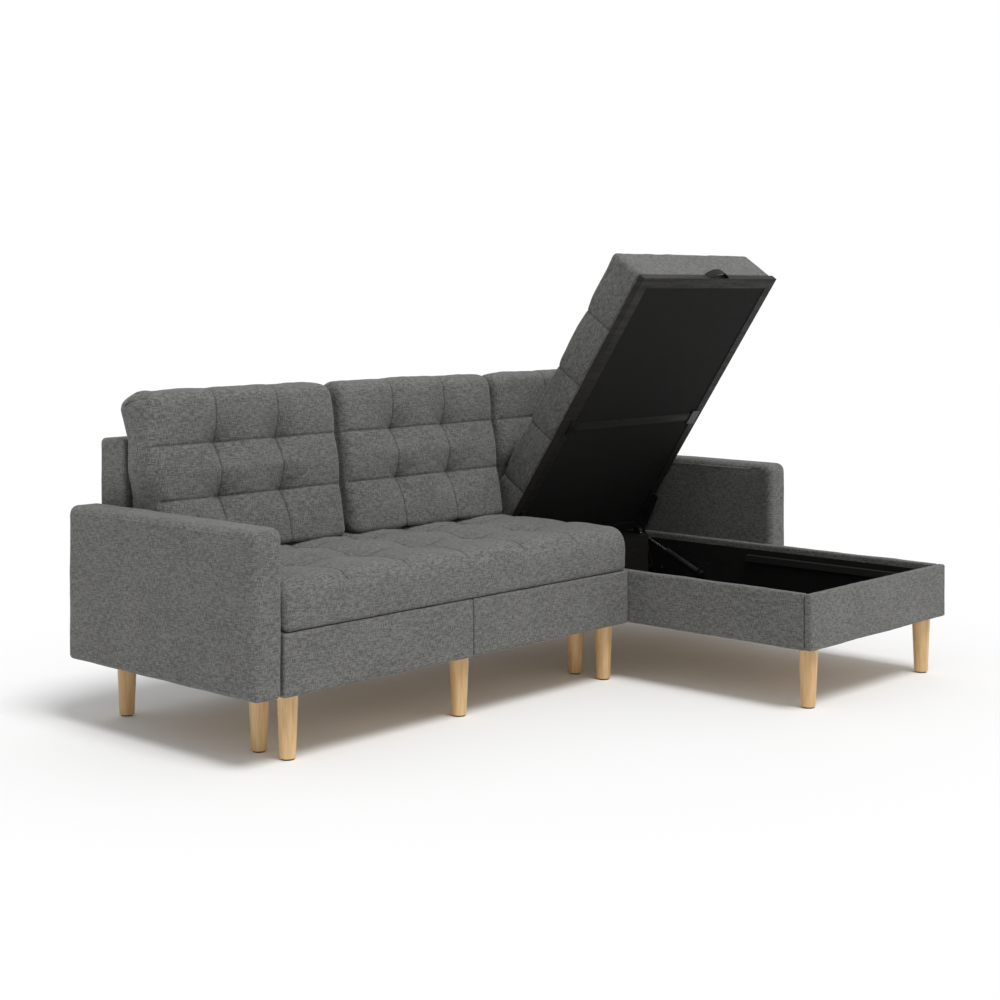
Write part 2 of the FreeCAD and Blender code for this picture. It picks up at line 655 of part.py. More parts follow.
def cut(name, base, tool):
    result = document.addObject("Part::Cut", name)
    result.Base = base
    result.Tool = tool
    return result


SIDES = {
    "left": {"wall": "lined_left", "plus": " + ", "inwards": 1},
    "right": {"wall": "lined_right", "plus": " - ", "inwards": -1},
}


def plate_body(name, side, start, length, outline):
    """A flat steel plate parallel to the box wall, at a distance from it."""
    body = document.addObject("PartDesign::Body", name)
    sketch = outline_sketch(body, name + "_outline", "YZ_Plane", outline)
    pad(body, name + "_pad", sketch, length, backwards=side["inwards"] < 0)
    return bind_place(body, side["wall"] + side["plus"] + "(" + start + ")")


def make_hinge_base(label, side):
    """The plate on the box wall. It holds the pivot pin's hole and the strut's foot stud."""
    outline = [
        ("strut_foot_y - base_margin", "strut_foot_z - base_drop"),
        ("pivot_y - base_nose", "strut_foot_z - base_drop"),
        ("pivot_y - base_margin", "pivot_z - crank_boss"),
        ("pivot_y + base_margin", "pivot_z - crank_boss"),
        ("pivot_y + base_margin", "pivot_z + base_margin"),
        ("pivot_y - base_nose", "strut_foot_z - base_drop + base_band"),
        ("strut_foot_y - base_margin", "strut_foot_z - base_drop + base_band"),
    ]
    plate = plate_body(label + "_plate", side, "0", "plate_thickness", outline)
    stud = rod(label + "_stud", "stud_radius", "0",
               "strut_offset + strut_eye_width / 2 + running_gap + plate_thickness",
               "strut_foot_y", "strut_foot_z", side)
    hole = rod(label + "_hole", "pivot_radius", "0", "plate_thickness", "pivot_y", "pivot_z", side)
    return keep(cut(label, fused(label + "_joined", [plate, stud]), hole), label)


def make_pivot_pin(label, side):
    shaft = rod(label + "_shaft", "pivot_radius", "0",
                "plate_thickness + crank_gap + crank_thickness + pivot_head_gap",
                "pivot_y", "pivot_z", side)
    head = rod(label + "_head", "pivot_head",
               "plate_thickness + crank_gap + crank_thickness + pivot_head_gap",
               "pivot_head_thickness", "pivot_y", "pivot_z", side)
    return keep(fused(label, [shaft, head]), label)


def make_crank(label, side):
    """The cranked plate that carries the lid: its neck, its foot under the lid, its stud."""
    foot_top = "lid_base - plate_thickness"
    foot_rear = "lid_rear - crank_end_gap"
    foot_front = "lid_rear - crank_end_gap - crank_foot_length"
    outline = [
        ("pivot_y - crank_boss", "pivot_z - crank_boss"),
        ("pivot_y + crank_boss", "pivot_z - crank_boss"),
        ("pivot_y + crank_boss", "pivot_z + crank_neck"),
        ("stud_y + stud_cover", "stud_z + stud_cover"),
        (foot_rear, foot_top),
        (foot_front, foot_top),
        (foot_front, foot_top + " - crank_foot_edge"),
        ("stud_y - stud_cover", "stud_z - stud_cover"),
    ]
    start = "plate_thickness + crank_gap"
    plate = plate_body(label + "_plate", side, start, "crank_thickness", outline)
    flange_outline = [(foot_front, foot_top), (foot_rear, foot_top), (foot_rear, "lid_base"),
                      (foot_front, "lid_base")]
    flange = plate_body(label + "_flange", side, start, "crank_flange_width", flange_outline)
    stud = rod(label + "_stud", "stud_radius", start,
               "strut_offset + strut_eye_width / 2 - plate_thickness", "stud_y", "stud_z", side)
    head = rod(label + "_stud_head", "stud_head",
               "strut_offset + strut_eye_width / 2 + crank_gap - stud_head_thickness / 2",
               "stud_head_thickness", "stud_y", "stud_z", side)
    hole = rod(label + "_hole", "pivot_radius + running_gap", start, "crank_thickness",
               "pivot_y", "pivot_z", side)
    whole = fused(label + "_joined", [plate, flange, stud, head])
    return keep(cut(label, whole, hole), label)


def strut_line():
    """Where the strut lies at rest: its foot, its head and its angle above the Y axis."""
    foot = Vector(0, size("strut_foot_y"), size("strut_foot_z"))
    head = lid_turn().multVec(Vector(0, size("stud_y"), size("stud_z")))
    run = head - foot
    return foot, run.Length, math.degrees(math.atan2(run.z, run.y))


def place_on_strut(piece, side):
    """Lay a piece that was drawn upright along the strut's line at rest."""
    foot, length, angle = strut_line()
    inwards = side["inwards"] * size("strut_offset")
    start = Vector(size(side["wall"]) + inwards, foot.y, foot.z)
    piece.Placement = Placement(start, Rotation(Vector(1, 0, 0), angle - RIGHT_ANGLE))
    return piece


def upright(name, radius, low, high):
    tube = document.addObject("Part::Cylinder", name)
    tube.setExpression("Radius", bound(radius))
    tube.setExpression("Height", bound("(%s) - (%s)" % (high, low)))
    return bind_place(tube, z=low)


def eye(name, radius, width, height):
    """A round lying along X at a height on the strut's own axis."""
    ring = document.addObject("Part::Cylinder", name)
    ring.setExpression("Radius", bound(radius))
    ring.setExpression("Height", bound(width))
    ring.Placement = Placement(Vector(-size(width) / 2, 0, height),
                               Rotation(Vector(0, 1, 0), RIGHT_ANGLE))
    return ring


def make_strut(side_name, side):
    foot, length, angle = strut_line()
    tube_label = "strut_tube_" + side_name
    rod_label = "strut_rod_" + side_name
    tube = upright(tube_label + "_barrel", "strut_radius", "strut_tube_start", "strut_tube_end")
    lug = eye(tube_label + "_lug", "strut_foot_eye", "strut_eye_width", 0)
    bore = upright(tube_label + "_bore", "strut_radius - strut_wall",
                   "strut_foot_eye + strut_wall", "strut_tube_end - strut_gland")
    gland = upright(tube_label + "_gland", "strut_rod_radius + running_gap",
                    "strut_tube_end - strut_gland", "strut_tube_end")
    lug_hole = eye(tube_label + "_lug_hole", "stud_radius + running_gap", "strut_eye_width", 0)
    solid = fused(tube_label + "_solid", [tube, lug])
    hollow = fused(tube_label + "_hollow", [bore, gland, lug_hole])
    keep(place_on_strut(cut(tube_label, solid, hollow), side), tube_label)

    piston_low = "strut_tube_end - strut_gland - strut_piston_stop - strut_piston_length"
    piston = upright(rod_label + "_piston", "strut_radius - strut_wall - strut_piston_gap",
                     piston_low, piston_low + " + strut_piston_length")
    shaft = upright(rod_label + "_shaft", "strut_rod_radius", piston_low, "strut_tube_end")
    shaft.setExpression("Height", None)
    shaft.Height = length - size("strut_head_eye") / 2 - worth(piston_low) \
        - size("strut_head_play") / 2
    ring = eye(rod_label + "_ring", "strut_head_eye", "strut_eye_width", length)
    hole = eye(rod_label + "_ring_hole", "stud_radius + strut_head_play", "strut_eye_width",
               length)
    solid = fused(rod_label + "_solid", [piston, shaft, ring])
    keep(place_on_strut(cut(rod_label, solid, hole), side), rod_label)


def make_mechanism():
    cranks = []
    screws = []
    for side_name, side in SIDES.items():
        make_hinge_base("hinge_base_" + side_name, side)
        make_pivot_pin("pivot_pin_" + side_name, side)
        cranks.append(make_crank("lid_crank_" + side_name, side))
        make_strut(side_name, side)
        for index, y in enumerate(("strut_foot_y + screw_inset + stud_cover",
                                   "pivot_y - base_nose - screw_inset")):
            screws.append(rod("screw_%s_%d" % (side_name, index), "screw_head_radius",
                              "plate_thickness", "screw_head_height", y, "strut_foot_z", side))
    compound("hinge_screws", screws)
    return cranks


def write_parts():
    document.recompute()
    for item in document.Objects:
        if "Invalid" in item.State or "Error" in item.State:
            raise RuntimeError("%s is %s" % (item.Label, item.State))
    os.makedirs("parts", exist_ok=True)
    for piece in nodes:
        shape = piece.Shape
        if shape.isNull() or not shape.isValid() or not shape.Solids:
            raise RuntimeError("%s has no valid solid" % piece.Label)
        shape.exportStep("parts/%s.step" % piece.Label)
        print("%-22s %d solid %12.0f mm3" % (piece.Label, len(shape.Solids), shape.Volume))


make_arms()
make_backs()
make_seat_base()
make_box()
make_legs()
make_seat_cushion()
make_back_cushions()
moving = make_lid() + make_mechanism()
open_with_lid(moving)
write_parts()
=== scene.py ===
import json
import math

import bpy
import numpy as np
from mathutils import Matrix, Vector

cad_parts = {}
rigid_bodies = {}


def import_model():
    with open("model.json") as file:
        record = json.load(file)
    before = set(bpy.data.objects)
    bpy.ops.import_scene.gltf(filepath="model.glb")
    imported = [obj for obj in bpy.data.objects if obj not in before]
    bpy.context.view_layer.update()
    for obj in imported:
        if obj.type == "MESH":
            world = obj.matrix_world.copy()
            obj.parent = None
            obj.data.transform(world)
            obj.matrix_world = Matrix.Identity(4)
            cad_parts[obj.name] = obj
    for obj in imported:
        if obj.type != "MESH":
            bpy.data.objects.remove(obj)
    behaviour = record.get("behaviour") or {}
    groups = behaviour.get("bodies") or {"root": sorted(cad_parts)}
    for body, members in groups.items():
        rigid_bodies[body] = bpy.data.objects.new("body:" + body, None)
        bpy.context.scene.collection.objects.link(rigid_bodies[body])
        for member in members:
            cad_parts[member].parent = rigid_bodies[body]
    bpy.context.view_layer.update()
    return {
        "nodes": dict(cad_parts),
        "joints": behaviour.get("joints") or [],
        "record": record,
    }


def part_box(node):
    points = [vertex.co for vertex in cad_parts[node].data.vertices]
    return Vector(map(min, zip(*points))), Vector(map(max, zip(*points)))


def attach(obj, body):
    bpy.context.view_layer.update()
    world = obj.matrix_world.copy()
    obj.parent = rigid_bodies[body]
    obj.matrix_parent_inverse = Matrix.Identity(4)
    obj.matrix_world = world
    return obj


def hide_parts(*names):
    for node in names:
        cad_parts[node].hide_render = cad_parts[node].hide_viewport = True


for leftover in list(bpy.data.objects):
    bpy.data.objects.remove(leftover)
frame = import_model()

MM = 0.001
QUARTER = math.pi / 2


# Shader helpers

class Wire:
    """A shader socket that can be added, multiplied and mapped."""

    def __init__(self, tree, socket):
        self.tree = tree
        self.socket = socket

    def _pair(self, operation, first, second):
        return self.node("ShaderNodeMath", {0: first, 1: second}, operation=operation)

    def __add__(self, other):
        return self._pair("ADD", self, other)

    def __sub__(self, other):
        return self._pair("SUBTRACT", self, other)

    def __mul__(self, other):
        return self._pair("MULTIPLY", self, other)

    def step(self, low, high, first=0.0, last=1.0):
        """Runs smoothly from first to last while this goes from low to high."""
        return self.node("ShaderNodeMapRange",
                         {0: self, 1: low, 2: high, 3: first, 4: last},
                         interpolation_type="SMOOTHSTEP")

    def node(self, kind, inputs=None, output=0, **settings):
        """A new node of that kind, with its sockets fed from values or other wires."""
        made = self.tree.nodes.new(kind)
        for key, value in settings.items():
            setattr(made, key, value)
        for key, value in (inputs or {}).items():
            if isinstance(value, Wire):
                self.tree.links.new(value.socket, made.inputs[key])
            else:
                made.inputs[key].default_value = value
        return Wire(self.tree, made.outputs[output])

    def axes(self):
        """The X, Y and Z of this, each a wire of its own."""
        split = self.tree.nodes.new("ShaderNodeSeparateXYZ")
        self.tree.links.new(self.socket, split.inputs[0])
        return [Wire(self.tree, split.outputs[index]) for index in range(3)]


def colour(red, green, blue):
    return (red, green, blue, 1.0)


def new_material(name, roughness, metallic=0.0, sheen=0.0, coat=0.0, gloss=0.5):
    material = bpy.data.materials.new(name)
    material.use_nodes = True
    surface = material.node_tree.nodes["Principled BSDF"]
    surface.inputs["Roughness"].default_value = roughness
    surface.inputs["Specular IOR Level"].default_value = gloss
    surface.inputs["Metallic"].default_value = metallic
    surface.inputs["Sheen Weight"].default_value = sheen
    surface.inputs["Coat Weight"].default_value = coat
    return material, surface, Wire(material.node_tree, None)


def feed(surface, name, wire):
    wire.tree.links.new(wire.socket, surface.inputs[name])


def bump(start, height, distance, strength=1.0):
    return start.node("ShaderNodeBump", {"Height": height, "Distance": distance,
                                         "Strength": strength})


def noise(start, across, up, depth, detail=2.0, roughness=0.5):
    spot = start.node("ShaderNodeCombineXYZ", {0: across, 1: up, 2: depth})
    return start.node("ShaderNodeTexNoise", {"Vector": spot, "Scale": 1.0, "Detail": detail,
                                             "Roughness": roughness})


def blend(start, share, first, last):
    """A colour between two, by a share from 0 to 1."""
    return start.node("ShaderNodeMix", {0: share, 6: first, 7: last}, 2, data_type="RGBA")


# Yarns and their uneven lengths, for each metre of cloth, and the finer fuzz on them
YARNS, YARN_RUNS = 540.0, 76.0
FUZZ, FUZZ_RUNS = 1100.0, 160.0


def woven(name, dark, light, crease_shade_tint):
    """Coarse cloth of two-tone yarn: streaks along both directions of the cloth's own map, with
    painted shade darkening it in its seams and round its tufted crossings.
    """
    material, surface, start = new_material(name, 0.93, sheen=0.12, gloss=0.25)
    u, v, _ = start.node("ShaderNodeUVMap", uv_map="cloth").axes()
    warp = noise(start, u * YARNS, v * YARN_RUNS, 0.0)
    weft = noise(start, u * YARN_RUNS, v * YARNS, 7.3)
    yarn = (warp + weft) * 0.5
    cloud = noise(start, u * 9.0, v * 9.0, 2.1)
    shade = (yarn + (cloud - 0.5) * 0.08).step(0.40, 0.60)
    tint = blend(start, shade, dark, light)
    # Painted shade: the shape's creases darken the cloth towards a dark tint, standing in for the
    # shade in seams and round pulled-in crossings.
    crease_shade = start.node("ShaderNodeAttribute", attribute_name="crease_shade", output="Fac")
    tint = blend(start, crease_shade * 0.6, tint, crease_shade_tint)
    feed(surface, "Base Color", tint)
    fine = (noise(start, u * FUZZ, v * FUZZ_RUNS, 3.0)
            + noise(start, u * FUZZ_RUNS, v * FUZZ, 9.0))
    feed(surface, "Normal", bump(start, yarn + fine * 0.35, 0.0011, 0.7))
    return material


def grained(name, dark, light, across, along, roughness, coat=0.0, gloss=0.5):
    """Wood with its grain along the piece's own height or length."""
    material, surface, start = new_material(name, roughness, coat=coat, gloss=gloss)
    x, y, z = start.node("ShaderNodeTexCoord", output="Object").axes()
    figure = noise(start, x * across, y * across, z * along, 4.0, 0.6)
    pores = noise(start, x * across * 9.0, y * across * 9.0, z * along * 2.0, 2.0)
    shade = (figure * 0.75 + pores * 0.25).step(0.36, 0.64)
    tint = blend(start, shade, dark, light)
    feed(surface, "Base Color", tint)
    feed(surface, "Roughness", shade.step(0.0, 1.0, roughness + 0.08, roughness - 0.05))
    feed(surface, "Normal", bump(start, figure + pores * 0.5, 0.0004, 0.4))
    return material


def speckled(name, dark, light, roughness, metallic=0.0, scale=900.0, height=0.0002, gloss=0.5):
    """An even finish with a slight mottle."""
    material, surface, start = new_material(name, roughness, metallic, gloss=gloss)
    place = start.node("ShaderNodeTexCoord", output="Object")
    grain = start.node("ShaderNodeTexNoise", {"Vector": place, "Scale": scale, "Detail": 2.0})
    broad = start.node("ShaderNodeTexNoise", {"Vector": place, "Scale": scale / 40.0})
    shade = (grain * 0.5 + broad * 0.5).step(0.35, 0.65)
    tint = blend(start, shade, dark, light)
    feed(surface, "Base Color", tint)
    feed(surface, "Roughness", broad.step(0.3, 0.7, roughness - 0.06, roughness + 0.06))
    feed(surface, "Normal", bump(start, grain, height, 0.5))
    return material


MATERIALS = {
    # grey_fabric's third colour is the painted shade laid into its seams and tufted crossings.
    "grey_fabric": woven("grey_fabric", colour(0.082, 0.082, 0.077), colour(0.181, 0.181, 0.171),
                         colour(0.036, 0.036, 0.034)),
    "leg_wood": grained("leg_wood", colour(0.58, 0.36, 0.155), colour(0.76, 0.52, 0.26), 70.0,
                        5.0, 0.42, 0.15),
    "frame_wood": grained("frame_wood", colour(0.42, 0.30, 0.18), colour(0.58, 0.45, 0.29), 5.0,
                          60.0, 0.7),
    "dark_wood": grained("dark_wood", colour(0.011, 0.010, 0.009), colour(0.017, 0.015, 0.014),
                         6.0, 80.0, 0.6, gloss=0.25),
    "black_lining": speckled("black_lining", colour(0.0085, 0.0082, 0.0078),
                             colour(0.0145, 0.014, 0.0135), 0.85, scale=1400.0, gloss=0.15),
    "black_webbing": speckled("black_webbing", colour(0.008, 0.008, 0.008),
                              colour(0.018, 0.018, 0.018), 0.75, scale=2200.0, height=0.0006,
                              gloss=0.2),
    "black_steel": speckled("black_steel", colour(0.014, 0.014, 0.015),
                            colour(0.024, 0.024, 0.025), 0.36, 0.3),
    "bright_steel": speckled("bright_steel", colour(0.50, 0.51, 0.52), colour(0.66, 0.67, 0.68),
                             0.24, 1.0, height=0.0001),
    "glide_plastic": speckled("glide_plastic", colour(0.03, 0.03, 0.03),
                              colour(0.055, 0.055, 0.055), 0.6),
}


# The lid as it lies closed: its own pieces are shaped there and then turned open.

tilt = next(joint for joint in frame["joints"] if joint["name"] == "lid_tilt")
pin = Vector(tilt["pos_m"])
open_turn = Matrix.Rotation(-math.radians(tilt["range_deg"][1]), 4, Vector(tilt["axis"]))
LID_OPEN = Matrix.Translation(pin) @ open_turn @ Matrix.Translation(-pin)


def box_when_closed(node):
    """The box of a lid node as it lies closed."""
    back = LID_OPEN.inverted()
    spots = np.array([back @ vertex.co for vertex in frame["nodes"][node].data.vertices])
    return Vector(spots.min(0)), Vector(spots.max(0))


# Stuffed and upholstered forms

SEAM_STEPS = [offset * MM for offset in (-7.0, -3.6, -1.6, 0.0, 1.6, 3.6, 7.0)]


def path_points(corners, radii, start_edge, end_edge, seam_near):
    """Dense points from the middle of one edge to the middle of another, with their weights."""
    count = len(corners)
    points, weights = [], []

    def middle(edge):
        return (corners[edge % count] + corners[(edge + 1) % count]) / 2

    def add(first, last, weight):
        steps = max(4, int(np.linalg.norm(last - first) / (1.5 * MM)))
        for index in range(steps):
            points.append(first + (last - first) * index / steps)
            weights.append(weight)

    here = middle(start_edge)
    edge = start_edge
    while edge != end_edge:
        corner = corners[(edge + 1) % count]
        before, after = corners[edge % count], corners[(edge + 2) % count]
        radius = radii[(edge + 1) % count]
        enter = corner + (before - corner) / np.linalg.norm(before - corner) * radius
        leave = corner + (after - corner) / np.linalg.norm(after - corner) * radius
        add(here, enter, 1.0)
        for index in range(24):
            t = index / 24
            points.append(enter * (1 - t) ** 2 + corner * 2 * t * (1 - t) + leave * t * t)
            weights.append(2.0)
        here = leave
        edge += 1
    add(here, middle(end_edge), 1.0)
    points.append(middle(end_edge))
    weights.append(1.0)
    points = np.array(points)
    finer = 1.0 + 2.6 * np.exp(-(seam_near(points) / (8 * MM)) ** 2)
    return points, np.array(weights) * finer


def spread(points, weights, steps):
    """The same path with evenly weighted points."""
    lengths = np.linalg.norm(np.diff(points, axis=0), axis=1) * weights[:-1]
    along = np.concatenate([[0.0], np.cumsum(lengths)])
    wanted = np.linspace(0.0, along[-1], steps + 1)
    return np.stack([np.interp(wanted, along, points[:, axis]) for axis in range(2)], 1)


def inset_corners(corners, amount):
    """Every side of the outline moved inwards by an amount."""
    count = len(corners)
    moved = []
    for index in range(count):
        before = corners[index] - corners[index - 1]
        after = corners[(index + 1) % count] - corners[index]
        before, after = before / np.linalg.norm(before), after / np.linalg.norm(after)
        out_before = np.array([before[1], -before[0]])
        out_after = np.array([after[1], -after[0]])
        share = amount / (1.0 + float(out_before @ out_after))
        moved.append(corners[index] - (out_before + out_after) * share)
    return moved


def outline_ring(corners, radii, inset, poles, steps, seam_near):
    """A closed ring of 2 * steps points round the outline, from pole to pole and back."""
    drawn = inset_corners(corners, inset)
    soft = [max(radius - inset, radius * 0.35) for radius in radii]
    count = len(corners)
    start, end = poles
    end += count if end < start else 0
    there = spread(*path_points(drawn, soft, start, end, seam_near), steps)
    back = spread(*path_points(drawn, soft, end, start + count, seam_near), steps)
    return np.concatenate([there[:-1], back[:-1]])


def inner_places(low, high, spacing, seams):
    """Even places between two ends, with finer ones close to each seam."""
    count = max(2, int((high - low) / spacing))
    even = [low + (high - low) * index / count for index in range(1, count)]
    even = [x for x in even if all(abs(x - seam) > 9 * MM for seam in seams)]
    close = [seam + step for seam in seams for step in SEAM_STEPS]
    return sorted(even + [x for x in close if low < x < high])


def far_from_seams(points):
    return np.full(len(points), 1.0)


def stuffed(name, x_span, corners, radii, end_radius, poles, spacing, field, material,
            end_steps=8, bulge=0.0, seams=(), seam_near=far_from_seams):
    """A closed form along X with rounded ends, shaped by a field of sewn depths.

    field(points, normals) gives how far each point goes in and how much painted shade darkens it
    in its creases.
    Seams are places along X, and seam_near tells how far outline points are from the others."""
    corners = [np.array(corner, float) for corner in corners]
    length = sum(np.linalg.norm(corners[index] - corners[index - 1])
                 for index in range(len(corners)))
    steps = max(12, int(length / spacing / 2))
    low, high = x_span[0] + bulge, x_span[1] - bulge
    turns = [QUARTER * index / end_steps for index in range(end_steps + 1)]
    stations = [(low + end_radius * (1 - math.cos(turn)), end_radius * (1 - math.sin(turn)))
                for turn in turns]
    stations += [(x, 0.0) for x in inner_places(low + end_radius, high - end_radius, spacing,
                                                seams)]
    stations += [(high - end_radius * (1 - math.cos(turn)), end_radius * (1 - math.sin(turn)))
                 for turn in reversed(turns)]
    around = 2 * steps
    drawn = {inset: outline_ring(corners, radii, inset, poles, steps, seam_near)
             for inset in sorted({inset for _, inset in stations})}
    rings = [drawn[inset] for _, inset in stations]
    points = [(x, y, z) for (x, _), ring in zip(stations, rings) for y, z in ring]
    faces = []
    for ring in range(len(stations) - 1):
        for index in range(around):
            after = (index + 1) % around
            here = ring * around
            faces.append((here + index, here + after, here + around + after,
                          here + around + index))
    for ring, side in ((0, -1), (len(stations) - 1, 1)):
        base = ring * around
        width = max(np.linalg.norm(rings[ring][index] - rings[ring][-index])
                    for index in range(1, steps))
        levels = max(3, int(width / spacing))
        rows = [[base] * (levels + 1)]
        for index in range(1, steps):
            first, last = rings[ring][index], rings[ring][around - index]
            row = [base + index]
            for level in range(1, levels):
                t = level / levels
                y, z = first + (last - first) * t
                swell = bulge * (math.sin(math.pi * t) * math.sin(math.pi * index / steps)) ** 1.2
                points.append((stations[ring][0] + side * swell, y, z))
                row.append(len(points) - 1)
            row.append(base + around - index)
            rows.append(row)
        rows.append([base + steps] * (levels + 1))
        for first, last in zip(rows, rows[1:]):
            for level in range(levels):
                corner = [first[level], last[level], last[level + 1], first[level + 1]]
                corner = [item for at, item in enumerate(corner) if item != corner[at - 1]]
                faces.append(tuple(corner if side > 0 else reversed(corner)))
    return finish_form(name, points, faces, field, material)


def finish_form(name, points, faces, field, material):
    mesh = bpy.data.meshes.new(name)
    mesh.from_pydata(points, [], faces)
    mesh.update()
    flat = np.zeros(len(mesh.vertices) * 3)
    mesh.vertices.foreach_get("co", flat)
    flat = flat.reshape(-1, 3)
    turned = np.zeros(len(mesh.polygons) * 3)
    mesh.polygons.foreach_get("normal", turned)
    turned = turned.reshape(-1, 3)
    centres = np.zeros(len(mesh.polygons) * 3)
    mesh.polygons.foreach_get("center", centres)
    outwards = (turned * (centres.reshape(-1, 3) - flat.mean(0))).sum()
    if outwards < 0:
        mesh.flip_normals()
        turned = -turned
    map_cloth(mesh, flat, turned)
    normals = np.zeros(len(mesh.vertices) * 3)
    mesh.vertices.foreach_get("normal", normals)
    normals = normals.reshape(-1, 3)
    depth, crease_shade = field(flat, normals)
    shaped = flat - normals * depth[:, None]
    mesh.vertices.foreach_set("co", shaped.ravel())
    # Each point's painted shade for its creases is stored for the cloth's colour.
    mark = mesh.attributes.new("crease_shade", "FLOAT", "POINT")
    mark.data.foreach_set("value", np.clip(crease_shade, 0, 1).astype(np.float32))
    mesh.polygons.foreach_set("use_smooth", [True] * len(mesh.polygons))
    mesh.update()
    piece = bpy.data.objects.new(name, mesh)
    bpy.context.scene.collection.objects.link(piece)
    mesh.materials.append(MATERIALS[material])
    return piece


def map_cloth(mesh, flat, turned):
    """Lays the cloth's map on each face along the axis that the face looks along most."""
    layer = mesh.uv_layers.new(name="cloth")
    corners = np.zeros(len(mesh.loops), int)
    mesh.loops.foreach_get("vertex_index", corners)
    totals = np.zeros(len(mesh.polygons), int)
    mesh.polygons.foreach_get("loop_total", totals)
    leaning = np.abs(turned) * np.array([1.0, 1.05, 1.0])
    axis = np.repeat(leaning.argmax(1), totals)
    spots = flat[corners]
    across = np.where(axis == 0, spots[:, 1], spots[:, 0])
    up = np.where(axis == 2, spots[:, 1], spots[:, 2])
    layer.data.foreach_set("uv", np.stack([across, up], 1).ravel())


def lumps(points, size, seed):
    """Soft random swelling between -1 and 1, over lengths of about the size."""
    draw = np.random.default_rng(seed)
    total = np.zeros(len(points))
    for _ in range(7):
        way = draw.normal(size=3)
        way *= 2 * math.pi / size * draw.uniform(0.6, 1.5) / np.linalg.norm(way)
        total += np.sin(points @ way + draw.uniform(0, 2 * math.pi))
    return total / 7 ** 0.5 / 1.6


def nearest(values, lines):
    """Distance to the nearest of some lines, and the signed one."""
    signed = np.array([values - line for line in lines])
    pick = np.abs(signed).argmin(0)
    chosen = np.take_along_axis(signed, pick[None], 0)[0]
    return np.abs(chosen), chosen


def eased(values, low, high):
    t = np.clip((values - low) / (high - low), 0, 1)
    return t * t * (3 - 2 * t)


# How far a sewn seam, a pulled-in crossing and the folds round it reach over the cloth, and how
# far the painted shade round a crossing reaches
SEAM_WIDTH, SEAM_DEPTH = 2.1 * MM, 1.8 * MM
CROSSING_REACH, CROSSING_CORE = 66 * MM, 19 * MM
FOLD_REACH, FOLD_START, FOLD_HEIGHT = 34 * MM, 25 * MM, 2.2 * MM
FOLDS = 8
SHADE_REACH = 24 * MM


def slack(distance):
    """How far cloth is drawn in beside a seam: steep close to it and easing off widely."""
    return 0.5 * np.exp(-distance / (11 * MM)) + 0.5 * np.exp(-(distance / (42 * MM)) ** 1.5)


def tufted(across, along, columns, rows, on_columns, on_rows, pull, valley, seed):
    """Depths of a tufted face, and the painted shade for its creases. Seams run at the lines, and
    where two cross they're pulled in.
    """
    beside, signed_x = nearest(across, columns)
    above, signed_y = nearest(along, rows)
    reach = np.hypot(beside, above)
    crossing = on_columns * on_rows
    near = np.exp(-(reach / CROSSING_REACH) ** 1.6) * crossing
    drawn = np.maximum(slack(beside) * on_columns, slack(above) * on_rows)
    seam_x = np.exp(-(beside / SEAM_WIDTH) ** 2) * on_columns
    seam_y = np.exp(-(above / SEAM_WIDTH) ** 2) * on_rows
    turn = np.arctan2(signed_y, signed_x)
    fold = np.cos(turn * FOLDS + seed) * np.exp(-reach / FOLD_REACH)
    fold *= eased(reach, 0, FOLD_START)
    seam = np.maximum(seam_x, seam_y)
    depth = valley * drawn * (0.75 + 0.25 * near) + SEAM_DEPTH * seam
    depth += pull * (near * 0.6 + np.exp(-reach / CROSSING_CORE) * crossing * 0.4)
    depth += fold * FOLD_HEIGHT * crossing
    # Painted shade: dark along each seam and round each pulled-in crossing, out to SHADE_REACH.
    return depth, seam + 0.5 * np.exp(-reach / SHADE_REACH) * crossing


def thirds(low, high, count):
    return [low + (high - low) * index / count for index in range(1, count)]


def seat_field(low, high, columns, rows, pull, valley, wrap, crown, seed):
    """The top of a flat cushion is tufted. With a wrap its rows also run down its two ends."""
    def field(points, normals):
        x, y, z = points.T
        upwards = eased(normals[:, 2], 0.25, 0.85)
        ends = eased(np.abs(normals[:, 0]), 0.3, 0.9) * wrap
        share_x = (x - low.x) / (high.x - low.x) * 2 - 1
        share_y = (y - low.y) / (high.y - low.y) * 2 - 1
        depth, crease_shade = tufted(x, y, thirds(low.x, high.x, columns),
                               thirds(low.y, high.y, rows), upwards,
                               np.maximum(upwards, ends), pull, valley, seed)
        depth -= crown * (1 - np.abs(share_x) ** 6) * (1 - np.abs(share_y) ** 4) * upwards
        sides = (1 - upwards) * eased(z, low.z + 4 * MM, low.z + 26 * MM)
        depth += lumps(points, 0.13, seed) * 1.3 * MM * (upwards + sides * 0.6)
        depth += lumps(points, 0.045, seed + 1) * 0.5 * MM
        return np.maximum(depth, -crown - 1 * MM), crease_shade
    return field


BACK_CROWN, BACK_TOP_CROWN, BACK_MOST_OUT = 13 * MM, 5 * MM, 17 * MM
BACK_PULL, BACK_VALLEY, ARM_SWELL = 36 * MM, 9 * MM, 14 * MM


